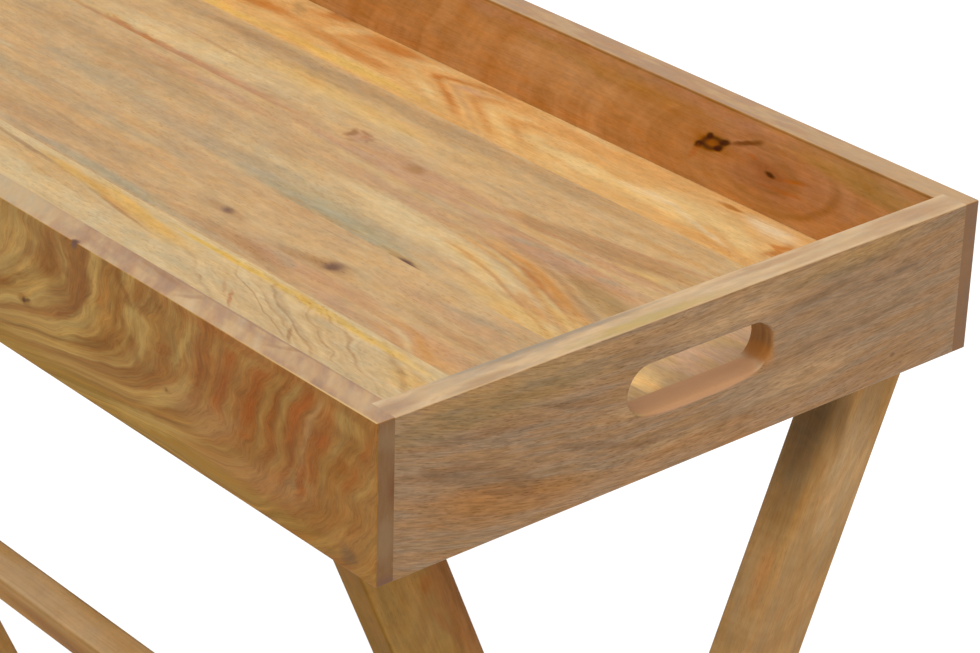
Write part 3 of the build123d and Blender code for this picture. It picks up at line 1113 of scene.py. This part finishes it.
# %% The far board's bark, heart and finish
diamond = (240, 60)
stains(board, (
    (diamond, (26, 15), chestnut_glow, 0.8, 14),
    (diamond, (15, 6.5), russet, 0.7, 18),
))
ring = distance_from(board, diamond, (1.75, 0.8), 18)
ribbon(board, ring, 4.4, 2.6, knot_brown, 0.9)
for place, size, turn in (
    ((230, 56), (6.5, 2.8), 34),
    ((238, 64), (5.0, 2.4), 24),
    ((245, 58.5), (5.4, 2.4), 20),
    ((250, 64), (6.0, 2.8), 22),
):
    stain(board, place, size, ink, 0.95, turn, fray=0.4, core=0.3)
stain(board, (266, 69), (20, 2.4), tail_red, 0.8, 20, bend=0.25, fray=0.8)
stain(board, (226, 50), (10, 2.6), rust, 0.5, 48, fray=0.6)
stain(board, (300, 58), (22, 2.0), rust, 0.7, 12, bend=0.2)
stain(board, (293, 50), (26, 2.0), rust, 0.5, 4, bend=0.3)
stains(board, (
    (heart, (27, 10), heart_brown, 0.7, -6),
    ((352, 76), (66, 11), olive_glow_dark, 0.7, -4),
    ((150, 76), (120, 9), olive_glow_dark, 0.35),
))
stain(board, heart, (6, 2.4), ink, 0.9, -6, fray=0.4)
stain(board, (272, 63), (5, 2), rust, 0.7, -10)
mottle(board, 0.07)
mottle(board, 0.05, (8, 3, 8))
fibres(board, 0.06)
pores(board, 0.2)
# A painted shadow: a thin dark line on the inner face just under the far rim.
stain(board, (200, 85.4, -183), (700, 1.6, 6), painted_shade_olive, 0.4, 0, fray=0.2, core=0.4)
top_edge(board, (edge_pink, edge_rose, edge_sand, edge_pink), light_on_far, (
    ((380, -192), (110, 16), edge_sand, 0.8),
), (40, 7, 7))
cut_ends(board, along_tray, (end_dusk, end_mauve, end_dusk), light_on_far)
dress("tray_side_back", lacquer(board, light_on_far))

# %% [markdown]
# ## The end boards
#
# They are the calmest boards: an even grey brown, full of short fine pores, with a few darker lines
# that wander down towards the corner. The hand hole opens the board: its rounded ends show cut
# fibres, its floor and the low part of one end get painted light, and one upper corner of it gets
# painted shade.

# %% Where the end boards are stained
end_stains = (
    ((-120, 18), (80, 15), tobacco, 0.6, -8),
    ((10, 8), (120, 10), tobacco, 0.45),
    ((130, 10), (60, 9), tobacco, 0.35, 3),
    ((110, 50), (90, 20), fog, 0.5, 2),
    ((60, 26), (70, 9), fog, 0.35, 2),
    ((-100, 68), (90, 10), olive, 0.22),
    ((-128, 82), (90, 6), olive, 0.5),
    ((118, 82), (60, 5), olive, 0.45),
    ((-163, 48), (40, 5), bark, 0.45, -8, 0.2),
    ((-122, 34), (40, 5), bark, 0.4, -28, -0.3),
    ((-108, 20), (26, 3), bark, 0.4, -40),
    ((-128, 26), (40, 2.4), bark, 0.4, -22),
    ((-150, 30), (60, 7), copper, 0.22, -16),
    ((-145, 38), (46, 5), bark, 0.35, -22, -0.3),
    ((-84, 58), (30, 3.6), bark, 0.4, -14),
    ((-140, 60), (56, 3.4), bark, 0.35, -8),
    ((-66, 30), (44, 3.4), bark, 0.45, -18),
    ((-10, 18), (70, 3.0), bark, 0.45, -4),
    ((70, 17), (60, 2.8), bark, 0.4, 5),
    ((110, 40), (80, 3.6), bark, 0.35, 4),
    ((140, 62), (60, 3.4), bark, 0.3, 2),
    ((120, 74), (50, 2.8), bark, 0.3, 1),
    ((-10, 79), (70, 3.2), bark, 0.35, 1),
    ((-30, 70), (50, 2.6), bark, 0.25, -3),
    ((-130, 74), (110, 12), leaf_brown, 0.4),
    ((100, 78), (70, 8), leaf_brown, 0.3),
    ((22, 71), (60, 8), tan, 0.4),
    ((75, 22), (60, 12), tan, 0.3, 3),
    ((88, 66), (40, 3), bark, 0.45, 4),
    ((0, 80), (190, 6), tan, 0.2),
    ((0, 7), (190, 6), edge_grey, 0.2),
    ((-30, 42), (50, 6), tan, 0.3),
    ((-10, 16), (50, 5), tan, 0.25),
    ((142, 14), (2.6, 2.0), bark, 0.7),
)
print("stains on each end board:", len(end_stains))

# %% The end boards
left_sag = 0.0009
right_sag = 0.0003
for seed, name in ((21, "right"), (22, "left")):
    node_name = f"tray_end_{name}"
    side = 1 if name == "right" else -1
    middle = (0, 0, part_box(node_name)[0].z)
    board = Timber(f"end_{name}_wood", seed, across_tray, up, middle)
    wander(board, 8, (140, 30, 30))
    length, height, depth = board.parts(board.place)
    bend = board.ease(length, -20.0, 60.0, left_sag, right_sag)
    sag = board.sum("MULTIPLY", board.sum("MULTIPLY", length, length), bend)
    board.place = board.join(length, board.sum("SUBTRACT", height, sag), depth)
    streaks(board, (walnut, drift, fog, walnut), (70, 6, 6), 0.24, 4.0)
    stains(board, end_stains)
    fibres(board, 0.22, (9, 0.8, 0.8))
    mottle(board, 0.08, (18, 4, 18))
    pores(board, 0.4, (6, 0.8, 0.8))
    top_edge(board, (edge_sand, edge_glow, edge_pale, edge_pale), light_on_ends, (
        ((-120, side * 408), (70, 5), edge_grey, 0.5),
        ((-90, side * 405), (100, 3), edge_slate, 0.8, 0.5),
        ((-32, side * 417), (70, 6), olive_glow, 0.7),
        ((-132, side * 417), (34, 5), edge_umber, 0.4),
        ((-60, side * 406), (60, 3.4), edge_grey, 0.5),
        ((90, side * 416), (80, 4), edge_sand, 0.6),
        ((60, side * 408), (60, 4), edge_rose, 0.6),
        ((175, side * 412), (34, 9), edge_rose, 0.6),
        ((150, side * 411), (42, 10), edge_rose, 0.6),
        ((-188, side * 412), (28, 10), edge_pink, 0.9),
    ), (60, 8, 8))
    cut_ends(board, across_tray, (hole_brown, hole_light, hole_brown), light_on_ends)
    # Painted light on the hole's floor and low on its end; painted shade in its upper corner.
    lower_edge = ((4, 35.5, side * 411), (52, 4.5, 16))
    stain(board, *lower_edge, painted_light_hole_floor, 0.9, fray=0.15, core=0.8)
    stain(board, (50, 41, side * 412), (8, 8, 16), copper, 0.7, fray=0.2)
    stain(board, (52, 60, side * 409), (8, 6, 12), painted_shade_olive, 0.6, fray=0.2)
    # A painted highlight along the end board's rounded outer top edge.
    painted_edge_highlight(board, (side * slanting, 0, slanting), edge_glow, 0.4)
    dress(node_name, lacquer(board, light_on_ends))

# %% [markdown]
# ## The stand
#
# The legs and rails are cut from plainer stock, golden olive with browner ends. The grain runs along
# each leg, so its frame leans with it, and it starts at the pivot on which the two frames turn.

# %% The stand's pivot and the colours of its stock
fold = next(joint for joint in frame["joints"] if joint["name"] == "stand_fold")
pivot = fold["pos_m"]
lean = radians(22.3)
olive_stock = tone(146, 110, 58)
gold_stock = tone(164, 124, 72)
tan_stock = tone(172, 136, 92)
brown_stock = tone(138, 96, 54)
red_stock = tone(138, 88, 50)
grey_stock = tone(150, 128, 92)
shadow_stock = tone(102, 80, 52)
far_leg_brown = tone(156, 122, 80)
pale_stock = tone(180, 150, 110)
russet_stock = tone(112, 72, 38)
umber_stock = tone(120, 88, 48)
light_on_inner_fronts = (1.50, 1.74, 4.0)
light_on_outer_fronts = (0.99, 0.90, 0.80)
light_on_rail_fronts = (1.11, 1.22, 1.55)
light_on_rail_tops = (0.70, 0.63, 0.52)
print("pivot at", pivot)

# %% The face of each leg
leg_looks = {
    "inner_leg_right": ((brown_stock, olive_stock, olive_stock, brown_stock), (
        ((330, -14), (110, 12), olive_stock, 0.6),
        ((340, 17), (90, 12), red_stock, 0.75, -4),
        ((362, 7), (10, 6), russet, 0.6),
        ((396, 12), (22, 8), brown_stock, 0.5),
        ((352, -2), (50, 6), gold_stock, 0.3),
        ((330, 8), (26, 3), red_stock, 0.5, -14),
        ((352, 20), (60, 5), russet_stock, 0.6, -3),
        ((318, 12), (30, 5), russet_stock, 0.35, 14),
        ((392, -4), (26, 10), umber_stock, 0.45, -20),
        ((340, -4), (24, 6), umber_stock, 0.3, 24),
    )),
    "outer_leg_right": ((gold_stock, far_leg_brown, gold_stock, tan_stock), (
        ((382, -14), (28, 9), shadow_stock, 0.35, -14),
        ((320, 10), (70, 3.4), grey_stock, 0.6, -2),
        ((330, -8), (70, 7), gold_stock, 0.5),
        ((270, 0), (70, 40), far_leg_brown, 0.6),
        ((300, 21), (120, 3), gold_stock, 0.6),
        ((345, 4), (55, 24), pale_stock, 0.6),
        ((388, -23.5, -388), (100, 14, 26), shadow_stock, 1.0),
        ((282, -23.5, -393), (26, 6, 8), copper, 0.5),
        ((372, -12, -400), (22, 8, 4), shadow_stock, 0.5, -18),
    )),
    "inner_leg_left": ((brown_stock, olive_stock, gold_stock, olive_stock), (
        ((330, 0), (120, 8), grey_stock, 0.4, 2),
    )),
    "outer_leg_left": ((gold_stock, tan_stock, gold_stock, olive_stock), (
        ((330, 10), (60, 4), copper, 0.35, 1),
    )),
}
print("legs:", list(leg_looks))

# %% Legs and rails
for frame_name, side in (("inner", 1), ("outer", -1)):
    along = (0, -side * sin(lean), cos(lean))
    across = (0, cos(lean), side * sin(lean))
    for seed, name in ((31, "right"), (37, "left")):
        node_name = f"{frame_name}_leg_{name}"
        stock, spots = leg_looks[node_name]
        leg = Timber(f"{node_name}_wood", seed + side, along, across, pivot)
        wander(leg, 12, (120, 30, 30))
        streaks(leg, stock, (200, 24, 24), 0.42, 2.0)
        stains(leg, spots)
        rings = distance_from(leg, (400, -20), (2.4, 1.0), place=leg.place)
        figure = bands(leg, rings, 5.0, wobble=0.5)
        leg.tint(figure, 0.25, brown_stock)
        mottle(leg, 0.07)
        mottle(leg, 0.05, (8, 3, 3))
        fibres(leg)
        pores(leg, 0.25)
        in_front = facing(leg, across)
        undo_light(leg, light_on_inner_fronts if side > 0 else light_on_outer_fronts, in_front)
        dress(node_name, lacquer(leg, light_on_stand, 0.04))
    for seed, name in ((41, "top"), (43, "bottom" if frame_name == "outer" else "middle")):
        node_name = f"{frame_name}_{name}_rail"
        rail = Timber(f"{node_name}_wood", seed + side, along_tray, along, pivot)
        wander(rail, 8, (160, 30, 30))
        streaks(rail, (brown_stock, gold_stock, tan_stock, gold_stock), (180, 24, 24), 0.34, 2.0)
        mottle(rail, 0.06)
        fibres(rail)
        pores(rail, 0.2)
        tops = [top / front for top, front in zip(light_on_rail_tops, light_on_rail_fronts)]
        undo_light(rail, tops, facing(rail, along))
        dress(node_name, lacquer(rail, light_on_rail_fronts, 0.04))

# %% [markdown]
# ## The pivot hardware
#
# The bolts and nuts are turned from steel bar and brushed, so their scratches run round the axis of
# the pivot. Noise that is squeezed along the distance from that axis gives rings of fine scratches.
# The washers between the legs are plain milky nylon.

# %% Bolts, nuts and washers
dull_share = 0.82
scratch_depth = 0.00005


def turned_stock(name, colour, roughness, metallic, scratch):
    """A turned material: fine rings round the pivot change its roughness and its height."""
    part = Timber(name, 51, middle=pivot)
    along, across, height = part.parts(part.steady)
    flat = part.join(0.0, across, height)
    radius = part.node("VectorMath", {0: flat}, "Value", operation="LENGTH")
    sockets = {"W": radius, "Scale": 4.0, "Detail": 4.0, "Roughness": 0.7}
    rings = part.node("TexNoise", sockets, noise_dimensions="1D")
    clouds = part.noise((6, 6, 6), 3.0)
    duller = (*[dull_share * channel for channel in colour[:3]], 1)
    part.colour = part.ramp(part.ease(clouds, 0.3, 0.7), (colour, duller))
    uneven = part.ease(rings, 0.3, 0.7, roughness - 0.08, roughness + 0.08)
    raised = part.node("Bump", {"Strength": scratch, "Distance": scratch_depth, "Height": rings})
    sockets = {"Base Color": part.colour, "Roughness": uneven, "Normal": raised}
    shader = part.node("BsdfPrincipled", sockets)
    shader.node.inputs["Metallic"].default_value = metallic
    output = part.tree.nodes.new("ShaderNodeOutputMaterial")
    part.tree.links.new(shader, output.inputs["Surface"])
    return part.material


brushed_steel = turned_stock("brushed_steel", tone(176, 174, 168), 0.38, 1.0, 0.5)
milky_nylon = turned_stock("milky_nylon", tone(226, 222, 210), 0.45, 0.0, 0.15)
for name in ("right", "left"):
    dress(f"pivot_bolt_{name}", brushed_steel)
    dress(f"pivot_nut_{name}", brushed_steel)
    dress(f"pivot_washer_{name}", milky_nylon)

# %% Measure the construction and the dressed object
import json

size = {
    "cad": [list(corner) for corner in construction_box],
    "visual": [list(corner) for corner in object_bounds()],
}
